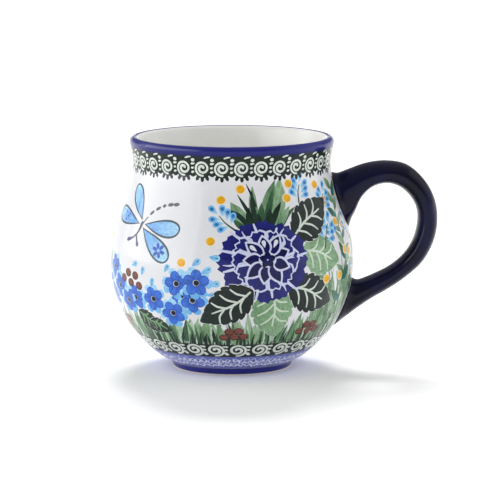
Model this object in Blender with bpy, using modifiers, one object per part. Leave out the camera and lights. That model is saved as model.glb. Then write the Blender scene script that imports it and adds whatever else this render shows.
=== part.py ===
"""A hand-painted stoneware belly mug: a turned body, its foot ring, an ear-shaped handle and the two
joints of clay slip that hold the handle on.

Metres, +Z up. The origin is under the middle of the whole mug's outline, on the plane that it stands on;
the turning axis is AXIS_X along X, and the handle points along +X."""

import math

import bmesh
import bpy
import numpy as np
from mathutils import Vector

MM = 0.001

# Driving dimensions, in millimetres from the turning axis and the plane the mug stands on.
HEIGHT = 95.0
BELLY_RADIUS = 50.0
RIM_RADIUS = 41.8
HANDLE_REACH = 84.4
WALL = 4.3
FLOOR_TOP = 8.6
LIP_THICKNESS = 3.8
FOOT_HEIGHT = 2.2
FOOT_RADIUS = 24.6
FOOT_WIDTH = 5.2
FOOT_ROUNDING = 0.8
FIT_GAP = 0.3
SLIP_THICKNESS = 1.2
SLIP_BEAD = 1.1
HANDLE_WIDTH = 14.4
HANDLE_ROOT_WIDTH = 16.4

# The mug's outline runs from the belly's far side to the handle's back, and its middle is the origin.
AXIS_X = (BELLY_RADIUS - HANDLE_REACH) / 2

# How finely the shapes are divided.
TURNING_STEPS = 64
WALL_POINTS = 24
BOWL_POINTS = 22
LIP_POINTS = 9
FOOT_EDGE_POINTS = 4
HANDLE_SIDES = 20
HANDLE_STATIONS = 34
CURVE_STEPS = 24
EDGE_SAMPLES = 200

# Outer wall, (height, radius): up from the foot over the belly and the neck to under the lip.
OUTER_WALL = [
    (FOOT_HEIGHT + FIT_GAP, 25.5),
    (5.0, 29.6),
    (11.0, 36.7),
    (18.0, 42.4),
    (27.0, 46.9),
    (36.0, 49.4),
    (44.0, BELLY_RADIUS),
    (52.0, 49.3),
    (61.0, 47.0),
    (70.0, 43.9),
    (78.0, 41.4),
    (84.0, 40.5),
    (89.0, 41.1),
    (92.6, RIM_RADIUS),
]

# Inside of the bowl, (height, radius): out along the floor and up to the lip.
BOWL = [
    (FLOOR_TOP, 0.0),
    (FLOOR_TOP + 0.1, 12.0),
    (FLOOR_TOP + 1.0, 22.0),
    (12.6, 30.0),
    (18.4, 37.0),
    (27.5, 42.4),
    (36.0, 44.9),
    (44.0, BELLY_RADIUS - WALL),
    (52.0, 45.0),
    (61.0, 42.7),
    (70.0, 39.7),
    (78.0, 37.3),
    (84.0, 36.5),
    (89.0, 37.0),
    (HEIGHT - LIP_THICKNESS / 2, RIM_RADIUS - LIP_THICKNESS),
]

# The handle's two edges seen from the side, (from the axis, height): its back and the edge round the eye.
# The first and last pairs lie inside the wall, and are cut off where the slip joints start.
HANDLE_BACK = [
    (35.5, 76.4), (41.3, 78.8), (47.4, 81.2), (54.8, 83.8), (63.2, 84.8), (71.6, 83.2), (79.0, 76.8),
    (83.2, 69.0), (HANDLE_REACH, 60.5), (82.9, 51.8), (78.4, 43.2), (71.0, 36.4), (64.2, 31.8),
    (57.0, 27.6), (50.4, 22.4), (46.2, 18.7), (42.4, 16.2), (38.4, 14.4),
]
HANDLE_EYE = [
    (43.0, 55.0), (47.4, 58.8), (50.3, 63.6), (53.0, 69.6), (57.4, 74.0), (63.2, 75.6), (68.4, 74.3),
    (73.0, 70.3), (75.6, 65.4), (76.1, 60.2), (74.7, 53.4), (71.1, 46.9), (65.4, 41.6),
    (58.4, 37.9), (52.6, 35.6), (49.0, 34.8), (45.4, 34.4), (41.5, 34.2),
]

# How much of the handle's length reaches into the wall at each root, where the slip joints are.
ROOT_SHARE = 0.2


def smooth_path(points, count):
    """Points spread evenly along a centripetal Catmull-Rom curve through the given points."""
    given = np.array(points, float)
    ends = np.vstack([2 * given[0] - given[1], given, 2 * given[-1] - given[-2]])
    fine = []
    for a, b, c, d in zip(ends, ends[1:], ends[2:], ends[3:]):
        t0 = 0.0
        t1 = t0 + np.sqrt(np.linalg.norm(b - a))
        t2 = t1 + np.sqrt(np.linalg.norm(c - b))
        t3 = t2 + np.sqrt(np.linalg.norm(d - c))
        for t in np.linspace(t1, t2, CURVE_STEPS, endpoint=False):
            ab = (t1 - t) / (t1 - t0) * a + (t - t0) / (t1 - t0) * b
            bc = (t2 - t) / (t2 - t1) * b + (t - t1) / (t2 - t1) * c
            cd = (t3 - t) / (t3 - t2) * c + (t - t2) / (t3 - t2) * d
            abc = (t2 - t) / (t2 - t0) * ab + (t - t0) / (t2 - t0) * bc
            bcd = (t3 - t) / (t3 - t1) * bc + (t - t1) / (t3 - t1) * cd
            fine.append((t2 - t) / (t2 - t1) * abc + (t - t1) / (t2 - t1) * bcd)
    fine = np.array(fine + [given[-1]])
    along = np.concatenate([[0], np.cumsum(np.linalg.norm(np.diff(fine, axis=0), axis=1))])
    wanted = np.linspace(0, along[-1], count)
    return np.column_stack([np.interp(wanted, along, fine[:, k]) for k in range(given.shape[1])])


def arc(centre, radius, start, end, count):
    """(radius, height) points on an arc of the turned profile, with angles in degrees."""
    turns = np.radians(np.linspace(start, end, count))
    return [(centre[0] + radius * math.cos(a), centre[1] + radius * math.sin(a)) for a in turns]


def material(name, colour, roughness):
    made = bpy.data.materials.new(name)
    made.use_nodes = True
    shader = made.node_tree.nodes["Principled BSDF"]
    shader.inputs["Base Color"].default_value = (*colour, 1.0)
    shader.inputs["Roughness"].default_value = roughness
    shader.inputs["Metallic"].default_value = 0.0
    return made


def add_object(name, mesh, collection, shade=None):
    made = bpy.data.objects.new(name, mesh)
    collection.objects.link(made)
    if shade:
        mesh.materials.append(shade)
    return made


def turned(name, profile, collection, shade=None):
    """A solid of revolution about the mug's axis. The profile is (radius, height) in millimetres and
    runs down its outer side; a closed one comes back to its first point."""
    closed = profile[0] == profile[-1]
    corners = profile[:-1] if closed else profile
    mesh = bpy.data.meshes.new(name)
    edges = [(i, i + 1) for i in range(len(corners) - 1)]
    if closed:
        edges.append((len(corners) - 1, 0))
    mesh.from_pydata([(r * MM, 0.0, z * MM) for r, z in corners], edges, [])
    made = add_object(name, mesh, collection, shade)
    made.location.x = AXIS_X * MM
    screw = made.modifiers.new("turn", "SCREW")
    screw.angle = math.tau
    screw.steps = TURNING_STEPS
    screw.render_steps = TURNING_STEPS
    screw.use_merge_vertices = True
    screw.merge_threshold = 0.00001
    screw.use_smooth_shade = True
    return made


def outer_wall(offset=0.0):
    """(radius, height) points of the outer wall from the lip down, moved out square to the wall."""
    path = smooth_path([(r, z) for z, r in OUTER_WALL], WALL_POINTS)[::-1]
    slope = np.gradient(path, axis=0)
    slope /= np.linalg.norm(slope, axis=1)[:, None]
    outward = np.column_stack([-slope[:, 1], slope[:, 0]])
    return [tuple(p) for p in path + offset * outward]


def body_profile():
    """The body's section: out along the floor, up the bowl, over the lip and down the outside."""
    bowl = [tuple(p) for p in smooth_path([(r, z) for z, r in BOWL], BOWL_POINTS)]
    half = LIP_THICKNESS / 2
    lip = arc((RIM_RADIUS - half, HEIGHT - half), half, 180, 0, LIP_POINTS)
    underside = [(0.0, FOOT_HEIGHT + FIT_GAP)]
    return bowl[:-1] + lip + outer_wall()[1:] + underside


def foot_profile():
    """The foot ring's section, a band with rounded edges that is flat where it stands."""
    outer, inner = FOOT_RADIUS, FOOT_RADIUS - FOOT_WIDTH
    r = FOOT_ROUNDING
    low_outside = arc((outer - r, r), r, 0, -90, FOOT_EDGE_POINTS)
    low_inside = arc((inner + r, r), r, 270, 180, FOOT_EDGE_POINTS)
    top = [(inner, FOOT_HEIGHT), (outer, FOOT_HEIGHT)]
    loop = low_outside + low_inside + top
    return loop + loop[:1]


def loft(name, rings, collection, shade=None):
    """A closed skin over rings of points, with flat ends."""
    mesh = bpy.data.meshes.new(name)
    skin = bmesh.new()
    made = [[skin.verts.new(p) for p in ring] for ring in rings]
    sides = len(rings[0])
    for one, other in zip(made, made[1:]):
        for i in range(sides):
            j = (i + 1) % sides
            skin.faces.new((one[i], one[j], other[j], other[i]))
    skin.faces.new(made[0][::-1])
    skin.faces.new(made[-1])
    bmesh.ops.recalc_face_normals(skin, faces=skin.faces)
    skin.to_mesh(mesh)
    skin.free()
    mesh.shade_smooth()
    return add_object(name, mesh, collection, shade)


def point_at(path, place):
    """The point at a share of the way along an evenly divided path."""
    at = place * (len(path) - 1)
    return np.array([np.interp(at, range(len(path)), path[:, k]) for k in range(2)])


def handle_rings(grow=0.0, share=(0.0, 1.0)):
    """Oval sections of the handle between its back and its eye, each grown by some millimetres. share
    is the part of the handle's length that is wanted."""
    back = smooth_path(HANDLE_BACK, EDGE_SAMPLES)
    eye = smooth_path(HANDLE_EYE, EDGE_SAMPLES)
    stations = max(6, round(HANDLE_STATIONS * (share[1] - share[0])))
    rings = []
    for place in np.linspace(share[0], share[1], stations):
        outer = point_at(back, place)
        inner = point_at(eye, place)
        middle, across = (outer + inner) / 2, (outer - inner) / 2
        stretch = 1 + grow / np.linalg.norm(across)
        flare = (2 * abs(place - 0.5)) ** 6
        wide = (HANDLE_WIDTH + flare * (HANDLE_ROOT_WIDTH - HANDLE_WIDTH)) / 2
        ring = []
        for turn in np.linspace(0, math.tau, HANDLE_SIDES, endpoint=False):
            x, z = middle + across * stretch * math.cos(turn)
            y = (wide + grow) * math.sin(turn)
            ring.append(Vector((AXIS_X + x, y, z)) * MM)
        rings.append(ring)
    return rings


def boolean(target, operation, other):
    cut = target.modifiers.new(operation.lower(), "BOOLEAN")
    cut.operation = operation
    cut.solver = "EXACT"
    cut.object = other


def add_cutters(collection):
    """The solid that the handle stops at, and the thin shell round the wall that the slip fills."""
    handle_stop = FIT_GAP + SLIP_THICKNESS + FIT_GAP
    wall = outer_wall(handle_stop)
    stop = turned("wall_envelope", [(0.0, wall[0][1])] + wall + [(0.0, wall[-1][1])], collection)
    near, far = outer_wall(FIT_GAP), outer_wall(FIT_GAP + SLIP_THICKNESS)
    shell = turned("slip_shell", far + near[::-1] + far[:1], collection)
    for helper in (stop, shell):
        helper.hide_render = True
        helper.display_type = "WIRE"
    return stop, shell


def add_slip_joint(name, share, shell, collection, shade):
    """The pad of slip under one end of the handle, a bead wider than the handle all round."""
    pad = loft(name, handle_rings(SLIP_BEAD, share), collection, shade)
    boolean(pad, "INTERSECT", shell)
    return pad


def main():
    for old in list(bpy.data.objects):
        bpy.data.objects.remove(old)
    parts = bpy.data.collections.new("belly_mug")
    cutters = bpy.data.collections.new("cutters")
    for collection in (parts, cutters):
        bpy.context.scene.collection.children.link(collection)

    white_glaze = material("white_glaze", (0.84, 0.84, 0.82), 0.12)
    cobalt_glaze = material("cobalt_glaze", (0.012, 0.012, 0.075), 0.12)
    foot_glaze = material("foot_glaze", (0.05, 0.06, 0.32), 0.2)

    turned("mug_body", body_profile(), parts, white_glaze)
    turned("foot_ring", foot_profile(), parts, foot_glaze)
    stop, shell = add_cutters(cutters)
    handle = loft("handle", handle_rings(), parts, cobalt_glaze)
    boolean(handle, "DIFFERENCE", stop)
    add_slip_joint("upper_slip_joint", (0.0, ROOT_SHARE), shell, parts, cobalt_glaze)
    add_slip_joint("lower_slip_joint", (1.0 - ROOT_SHARE, 1.0), shell, parts, cobalt_glaze)


main()
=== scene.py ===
"""The looks of a hand-painted stoneware belly mug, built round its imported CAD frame.

The wall is one mesh whose faces follow the painting. Each stamp and brush stroke is an outline on the
unrolled wall; the outlines are cut into each other, the topmost one gives each face its glaze colour, and
the sheet is rolled up again. A place on the wall is (angle, height): degrees round the cup, from 0 at the
front to 90 at the handle, and millimetres up from the table. Lengths within a motif are millimetres."""
import math
import random

import bpy
import numpy as np
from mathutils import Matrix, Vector
from mathutils.geometry import delaunay_2d_cdt


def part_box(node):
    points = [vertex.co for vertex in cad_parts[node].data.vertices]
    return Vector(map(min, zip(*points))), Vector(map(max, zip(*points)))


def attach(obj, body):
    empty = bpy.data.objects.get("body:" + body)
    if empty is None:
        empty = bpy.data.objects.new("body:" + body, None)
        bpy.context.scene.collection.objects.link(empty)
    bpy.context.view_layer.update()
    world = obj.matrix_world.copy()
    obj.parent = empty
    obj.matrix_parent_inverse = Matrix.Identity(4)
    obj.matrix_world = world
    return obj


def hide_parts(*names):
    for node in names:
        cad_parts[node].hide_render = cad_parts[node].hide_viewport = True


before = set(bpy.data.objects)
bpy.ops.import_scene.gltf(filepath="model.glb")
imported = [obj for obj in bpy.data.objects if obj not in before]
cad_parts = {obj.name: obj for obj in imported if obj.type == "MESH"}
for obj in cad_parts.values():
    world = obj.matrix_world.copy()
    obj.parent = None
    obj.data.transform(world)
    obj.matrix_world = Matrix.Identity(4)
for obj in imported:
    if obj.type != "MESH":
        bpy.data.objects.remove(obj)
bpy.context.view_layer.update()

MM = 0.001

# Sizes from the frame, in millimetres from the cup's axis and the table.
body_low, body_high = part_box("mug_body")
foot_low, foot_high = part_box("foot_ring")
AXIS_X = (foot_low.x + foot_high.x) / 2 / MM
HEIGHT = body_high.z / MM
BELLY_RADIUS = (body_high.y - body_low.y) / 2 / MM
FOOT_RADIUS = (foot_high.y - foot_low.y) / 2 / MM
FOOT_HEIGHT = foot_high.z / MM
FOOT_WIDTH = 5.2
HANDLE_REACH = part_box("handle")[1].x / MM - AXIS_X

WALL = 4.3
RIM_RADIUS = 41.8
LIP_THICKNESS = 3.8
FLOOR_TOP = 8.6
WALL_FOOT = FOOT_HEIGHT + 0.3
WALL_TOP = 92.6

# The lip's round, in degrees from level: from where to where, and where its cobalt ends.
LIP_ARC = (8, 180)
LIP_COBALT_END = 118
LIP_RINGS = 16
BOWL_RINGS = 36

# Outer wall and bowl, (height, radius).
OUTER_WALL = [
    (WALL_FOOT, 25.5), (5.0, 29.6), (11.0, 36.7), (18.0, 42.4), (27.0, 46.9), (36.0, 49.4),
    (44.0, BELLY_RADIUS), (52.0, 49.3), (61.0, 47.0), (70.0, 43.9), (78.0, 41.4), (84.0, 40.5),
    (89.0, 41.1), (WALL_TOP, RIM_RADIUS),
]
BOWL = [
    (89.0, 37.0), (84.0, 36.5), (78.0, 37.3), (70.0, 39.7), (61.0, 42.7), (52.0, 45.0),
    (44.0, BELLY_RADIUS - WALL), (36.0, 44.9), (27.5, 42.4), (18.4, 37.0), (12.6, 30.0),
    (FLOOR_TOP + 1.0, 22.0), (FLOOR_TOP + 0.1, 12.0), (FLOOR_TOP, 1.0),
]

# The handle's two edges seen from the side, (from the axis, height): its back and the edge round its eye.
HANDLE_BACK = [
    (35.5, 76.4), (41.3, 78.8), (47.4, 81.2), (54.8, 83.8), (63.2, 84.8), (71.6, 83.2), (79.0, 76.8),
    (83.2, 69.0), (HANDLE_REACH, 60.5), (82.9, 51.8), (78.4, 43.2), (71.0, 36.4), (64.2, 31.8),
    (57.0, 27.6), (50.6, 23.2), (46.8, 20.3), (43.4, 18.3), (39.8, 17.0),
]
HANDLE_EYE = [
    (43.0, 55.0), (47.4, 58.8), (50.3, 63.6), (53.0, 69.6), (57.4, 74.0), (63.2, 75.6), (68.4, 74.3),
    (73.0, 70.3), (75.6, 65.4), (76.1, 60.2), (74.7, 53.4), (71.1, 46.9), (65.4, 41.6),
    (58.4, 37.9), (52.6, 35.6), (49.0, 34.8), (45.4, 34.4), (41.5, 34.2),
]
HANDLE_WIDTH = 14.4
HANDLE_ROOT_WIDTH = 16.4
HANDLE_SQUARENESS = 2.3
HANDLE_STATIONS = 160
HANDLE_SIDES = 48
HANDLE_TRIM = 4
EDGE_STEPS = 1601
FINE_STEPS = 16

# The slip: how wide it fills the corner, how much of the handle's length it takes, and how far from the bowl
# it and the handle end.
FILLET = 3.2
SLIP_STATIONS = 40
SLIP_TRIM = 2
BURIED = 1.2

# The unrolled wall: millimetres at the belly across, and height up.
MM_PER_DEGREE = math.radians(BELLY_RADIUS)
SEAM, FRONT_EDGE, FAR_SEAM = -270.0, -90.0, 90.0
RING_STEPS = 180
MESH_STEP = 2.3
CUT_TOLERANCE = 1e-6
WHOLE_HULL = 0
SAME_PLACE = 1e-3
ON_EDGE = 1e-4
STREAK_SHIFT = 50

# The camera, from a fit of the rim, the foot and the belly's edges.
CAMERA_DISTANCE = 1289
CAMERA_HEIGHT = 243
CAMERA_AIM = (7.4, 47.7)
LENS = 228.2
SENSOR = 36

# The studio's light. The room's strength goes with how steeply the view rises, from 0 level to 1 straight up.
ROOM_SIDES = 0.08
ROOM_CEILING = 0.64
HORIZON_BAND = (0.10, 0.16)
FLOOR_GLOW = 0.16
FLOOR_REACH = 6000
SUN_STRENGTH = 2.5
SUN_SOFTNESS = 22
SUN_PLACE = (0.0, 0.95, 1.0)
MUG_MIDDLE = (0.0, 0.0, 0.045)
# (name, place in metres, size in metres, watts, whether it shows only in reflections)
SOFTBOXES = [
    ("left_softbox", (-1.2, 0.0, 0.5), (2.0, 1.2), 9.5, False),
    ("left_card", (-1.2, -0.3, 0.4), (2.0, 1.0), 20, True),
    ("right_softbox", (1.1, 0.0, 0.5), (1.5, 1.2), 4, False),
]

# The glaze: depths in metres of its pooling and of its fine orange peel.
COAT_IOR = 1.35
GLOSS_UNDER_COAT = 0.06
POOL_DEPTH = 0.00008
PEEL_DEPTH = 0.000010


def srgb(red, green, blue):
    """A colour from screen values of 0 to 255, as the light it gives back."""
    levels = [c / 255 for c in (red, green, blue)]
    return tuple(c / 12.92 if c <= 0.04045 else ((c + 0.055) / 1.055) ** 2.4 for c in levels)


WHITE = srgb(225, 226, 230)
# A lighter copy of the outside's white, for the bowl and the recess under the foot: painted light that lifts
# the dimmer inside of the bowl.
BOWL_WHITE = srgb(245, 245, 242)
COBALT = srgb(14, 18, 92)
COBALT_LIGHT = srgb(44, 48, 140)
# Lighter cobalt for the lip and for the cobalt under the foot. On the lip it is partly the glaze's own blue
# and partly a painted highlight along the rim.
RIM_BLUE = srgb(28, 32, 118)
COBALT_DEEP = srgb(8, 8, 50)
COBALT_BLACK = srgb(6, 6, 22)
PETAL_LINE = srgb(204, 210, 236)
PETAL_CORE = srgb(218, 222, 240)
LACE = srgb(98, 108, 182)
LACE_PALE = srgb(166, 172, 224)
LACE_WHITE = srgb(222, 226, 244)
BORDER = srgb(11, 30, 24)
STAMP = srgb(214, 222, 214)
LEAF_BLACK = srgb(18, 27, 26)
LEAF_GREY = srgb(40, 54, 50)
VEIN = srgb(206, 218, 208)
LEAF_GREEN = srgb(106, 148, 106)
LEAF_PALE = srgb(146, 178, 144)
LEAF_DARK = srgb(30, 58, 42)
LEAF_MID = srgb(64, 108, 72)
PALE_VEIN = srgb(202, 218, 198)
SKY = srgb(112, 182, 234)
SKY_PALE = srgb(160, 210, 240)
FLOWER_BLUE = srgb(58, 110, 208)
FLOWER_DEEP = srgb(36, 80, 180)
DAB_BLUE = srgb(40, 112, 178)
TEAL = srgb(36, 108, 112)
TEAL_PALE = srgb(64, 150, 190)
WING_LINE = srgb(40, 66, 84)
WING_DEEP = srgb(112, 174, 238)
WING_PALE = srgb(156, 206, 242)
PLUM = srgb(84, 66, 122)
YELLOW = srgb(236, 180, 28)
YELLOW_DEEP = srgb(220, 150, 16)
YELLOW_HALO = srgb(240, 224, 184)
BROWN = srgb(120, 70, 60)
BROWN_DARK = srgb(78, 36, 34)
INSECT_GREY = srgb(84, 86, 94)
EYE_DARK = srgb(14, 22, 42)
CLAY = srgb(206, 190, 164)
GRASS = [srgb(46, 78, 58), srgb(84, 128, 84), srgb(112, 152, 108), srgb(58, 92, 72), srgb(30, 48, 40)]
GRASS_PALE = [srgb(136, 170, 132), srgb(160, 188, 158), srgb(190, 208, 190), srgb(108, 146, 108)]
GRASS_DARK = [srgb(22, 38, 32), srgb(36, 60, 46), srgb(52, 84, 62)]
HAZE_LOW = srgb(96, 124, 104)
HAZE_HIGH = srgb(196, 208, 196)


# ---------------- curves

def between(first, second, start, end, t):
    """The place at t on the line from first, at start, to second, at end."""
    return ((end - t) * first + (t - start) * second) / (end - start)


def smooth_path(points, count):
    """Points spread evenly along a centripetal Catmull-Rom curve through the given points."""
    given = np.array(points, float)
    ends = np.vstack([2 * given[0] - given[1], given, 2 * given[-1] - given[-2]])
    fine = []
    for a, b, c, d in zip(ends, ends[1:], ends[2:], ends[3:]):
        t0 = 0.0
        t1 = t0 + math.sqrt(np.linalg.norm(b - a))
        t2 = t1 + math.sqrt(np.linalg.norm(c - b))
        t3 = t2 + math.sqrt(np.linalg.norm(d - c))
        t = np.linspace(t1, t2, FINE_STEPS, endpoint=False)[:, None]
        ab, bc, cd = between(a, b, t0, t1, t), between(b, c, t1, t2, t), between(c, d, t2, t3, t)
        abc, bcd = between(ab, bc, t0, t2, t), between(bc, cd, t1, t3, t)
        fine.append(between(abc, bcd, t1, t2, t))
    fine = np.vstack(fine + [given[-1:]])
    along = np.concatenate([[0], np.cumsum(np.linalg.norm(np.diff(fine, axis=0), axis=1))])
    wanted = np.linspace(0, along[-1], count)
    return np.column_stack([np.interp(wanted, along, fine[:, k]) for k in range(given.shape[1])])


def cubic(points):
    """A natural cubic spline through (x, y) points, as a function of x."""
    xs, ys = np.array(points, float).T
    gap = np.diff(xs)
    rows = np.eye(len(xs))
    right = np.zeros(len(xs))
    for i in range(1, len(xs) - 1):
        rows[i, i - 1:i + 2] = gap[i - 1], 2 * (gap[i - 1] + gap[i]), gap[i]
        right[i] = 6 * ((ys[i + 1] - ys[i]) / gap[i] - (ys[i] - ys[i - 1]) / gap[i - 1])
    bend = np.linalg.solve(rows, right)

    def value(x):
        i = np.clip(np.searchsorted(xs, x) - 1, 0, len(xs) - 2)
        before, after = x - xs[i], xs[i + 1] - x
        cubes = (bend[i] * after ** 3 + bend[i + 1] * before ** 3) / (6 * gap[i])
        lines = (ys[i] * after + ys[i + 1] * before) / gap[i]
        return cubes + lines - gap[i] / 6 * (bend[i] * after + bend[i + 1] * before)

    return value


wall_radius = cubic(OUTER_WALL)


def wall_slope(height):
    """How much the wall's radius grows over a millimetre of height."""
    return wall_radius(height + 0.5) - wall_radius(height - 0.5)


def wobble(angle, height):
    """How far the thrown wall stays inside the true turned form, in millimetres."""
    turn = np.radians(angle)
    fade = np.clip((height - 8) / 14, 0, 1) * np.clip((90 - height) / 14, 0, 1)
    swell = 0.10 + 0.055 * np.sin(2 * turn + 0.7) + 0.03 * np.sin(3 * turn + height / 11)
    throwing = 0.008 * np.sin(height / 0.9 + 2 * turn)
    return fade * (swell + throwing)


def wall_point(angle, height):
    turn = np.radians(angle)
    radius = wall_radius(height) - wobble(angle, height)
    return np.stack([AXIS_X + radius * np.sin(turn), -radius * np.cos(turn), height + 0 * turn], -1)


def wall_normal(angle, height):
    step = 0.05
    along = wall_point(angle + step, height) - wall_point(angle - step, height)
    low = np.maximum(height - step, WALL_FOOT)
    high = np.minimum(height + step, WALL_TOP)
    up = wall_point(angle, high) - wall_point(angle, low)
    normal = np.cross(along, up)
    return normal / np.linalg.norm(normal, axis=-1, keepdims=True)


# ---------------- outlines, in millimetres

def turned(points, degrees):
    c, s = math.cos(math.radians(degrees)), math.sin(math.radians(degrees))
    return np.array(points, float) @ np.array([[c, s], [-s, c]])


def oval(width, height, centre=(0, 0), turn=0, count=16):
    around = np.linspace(0, math.tau, count, endpoint=False)
    ring = np.column_stack([width / 2 * np.cos(around), height / 2 * np.sin(around)])
    return turned(ring, turn) + centre


def teardrop(length, width, start=0.0, count=24):
    """A drop with its point at the start and its round end along +x."""
    t = np.linspace(0, math.tau, count, endpoint=False)
    x = (1 - np.cos(t)) / 2
    y = np.sin(t) * np.abs(np.sin(t / 2)) ** 1.3
    return np.column_stack([start + length * x, width / 2 * y / np.abs(y).max()])


def ribbon(path, widths, count=9):
    """A brush stroke along a smooth path, as wide as given at even places along it."""
    spine = smooth_path(path, count)
    along = np.gradient(spine, axis=0)
    along /= np.linalg.norm(along, axis=1)[:, None]
    across = np.column_stack([-along[:, 1], along[:, 0]])
    places = np.linspace(0, 1, len(widths))
    half = np.interp(np.linspace(0, 1, count), places, widths)[:, None] / 2
    tail = spine[0] - along[0] * half[0]
    tip = spine[-1] + along[-1] * half[-1]
    return np.vstack([tail, spine - across * half, tip, (spine + across * half)[::-1]])


def half_width(share):
    return np.sin(np.pi * share ** 0.8) ** 0.8


def leaf(length, width, teeth=0, depth=0.0):
    """A leaf along +x from its stalk, with saw teeth that point to its tip."""
    if teeth:
        steps = np.array([0.0, 0.35, 0.75, 0.96])
        share = np.concatenate([(k + steps) / teeth for k in range(teeth)])
        saw = np.tile([0.0, 0.7, 1.0, 0.8], teeth)
    else:
        share = np.linspace(0, 1, 18)
        saw = np.full(18, 0.5)
    half = width / 2 * half_width(np.clip(share, 0.01, 0.985)) * (1 + depth * (saw - 0.5))
    upper = np.column_stack([length * share, half])
    lower = np.column_stack([length * share, -half])
    return np.vstack([[(-0.01 * length, 0)], lower, [(length, 0)], upper[::-1]])


def spiral(inner, outer, turns, line):
    t = np.linspace(0, 1, 40)
    around = math.tau * turns * t + 0.4
    reach = inner + (outer - inner) * t ** 0.8
    path = np.column_stack([reach * np.cos(around), reach * np.sin(around)])
    return ribbon(path, [line * 1.3, line, line, line * 0.9], count=30)


# ---------------- the painting

class Painting:
    """Outlines of glaze colour on the unrolled wall. Each covers what was laid before it."""

    def __init__(self, seed):
        self.random = random.Random(seed)
        self.shapes = []

    def lay(self, outline, ink, other=None, fade=None, grain=0.0, streaks=0.6):
        """outline is (angle, height) places. The ink turns to the other one from the first to the second
        place of fade. grain is the brush's direction in degrees, and streaks how much it shows."""
        flat = np.array(outline, float) * (MM_PER_DEGREE, 1)
        area = np.sum(flat[:, 0] * np.roll(flat[:, 1], -1) - flat[:, 1] * np.roll(flat[:, 0], -1))
        if area < 0:
            flat = flat[::-1]
        fade = None if fade is None else np.array(fade, float) * (MM_PER_DEGREE, 1)
        shape = {"flat": flat, "ink": ink, "other": other or ink, "fade": fade}
        shape.update(grain=math.radians(grain), streaks=streaks, shift=self.random.uniform(0, STREAK_SHIFT))
        self.shapes.append(shape)
        turn = 360 * MM_PER_DEGREE
        for side, limit in ((1, SEAM), (-1, FAR_SEAM)):
            if (flat[:, 0].min() < limit * MM_PER_DEGREE < flat[:, 0].max()) and np.ptp(flat[:, 0]) < turn:
                again = dict(shape, flat=flat + (side * turn, 0))
                again["fade"] = None if fade is None else fade + (side * turn, 0)
                self.shapes.append(again)

    def band(self, low, high, ink, other=None, streaks=0.5):
        """A stripe all the way round."""
        past = 3
        across = np.linspace(SEAM - past, FAR_SEAM + past, RING_STEPS + 1)
        lower, upper = ([(angle, height) for angle in across] for height in (low, high))
        self.lay(lower + upper[::-1], ink, other, [(0, low), (0, high)], 0, streaks)


class Spot:
    """A place on the wall where a motif is drawn, in millimetres across and up from its middle."""

    def __init__(self, painting, angle, height, turn=0.0, size=1.0, flip=1):
        self.painting = painting
        self.angle = angle
        self.height = height
        self.turn = turn
        self.size = size
        self.flip = flip
        self.upright = 1 / math.hypot(1, wall_slope(height))

    def on_wall(self, points):
        local = turned(np.array(points, float) * self.size, self.turn) * (self.flip, 1)
        height = self.height + local[:, 1] * self.upright
        inside = np.clip(height, WALL_FOOT, WALL_TOP)
        return np.column_stack([self.angle + np.degrees(local[:, 0] / wall_radius(inside)), height])

    def spot(self, x, y, turn=0.0, size=1.0):
        """Another spot, placed from this one."""
        (angle, height), = self.on_wall([(x, y)])
        return Spot(self.painting, angle, height, self.turn + turn, self.size * size, self.flip)

    def lay(self, points, ink, other=None, fade=None, grain=0.0, streaks=0.6):
        fade = None if fade is None else self.on_wall(fade)
        grain = (grain + self.turn) * self.flip
        self.painting.lay(self.on_wall(points), ink, other, fade, grain, streaks)

    def stroke(self, path, widths, ink, other=None, count=9, streaks=0.6):
        """A brush stroke along a path, whose ink turns to the other one on its way."""
        (x0, y0), (x1, y1) = path[0], path[-1]
        grain = math.degrees(math.atan2(y1 - y0, x1 - x0))
        self.lay(ribbon(path, widths, count), ink, other, [path[0], path[-1]], grain, streaks)


# ---------------- motifs

def veined_leaf(spot, length, width, ink, other, vein, teeth, pairs=3):
    """A leaf with its veins left pale."""
    halo = leaf(length * 1.015, width * 1.03, teeth, 0.1)
    spot.lay(halo - (length * 0.01, 0), WHITE, streaks=0.1)
    spot.lay(leaf(length, width, teeth, 0.14), ink, other, [(0, -width / 2), (length, width / 2)], 20, 0.8)
    middle = [(length * 0.05, 0), (length * 0.36, width * 0.06), (length * 0.76, -width * 0.04)]
    spot.stroke(middle, [0.8, 1.0, 0.6], vein, count=12, streaks=0.2)
    for k in range(pairs):
        for side in (1, -1):
            root = length * (0.13 + 0.19 * k + 0.05 * (side > 0))
            reach = side * width * 0.38 * half_width(0.3 + 0.18 * k)
            bend = [(root, 0.04 * width), (root + 0.12 * length, reach * 0.45), (root + 0.17 * length, reach)]
            spot.stroke(bend, [0.7, 0.85, 0.55], vein, count=8, streaks=0.2)


def petal(length, width, rng):
    """A petal along +x, broad past its middle, with a ragged tip."""
    side = np.array([(0, 0.1), (0.3, 0.56), (0.5, 0.92), (0.66, 1.0), (0.82, 0.8)])
    tips = [(rng.uniform(0.90, 0.98), 0.54), (rng.uniform(0.86, 0.92), 0.28), (1.0, rng.uniform(-0.1, 0.1)),
            (rng.uniform(0.86, 0.92), -0.30), (rng.uniform(0.88, 0.96), -0.56)]
    return np.vstack([side * (1, -1), tips[::-1], side[::-1]]) * (length, width / 2)


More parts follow.
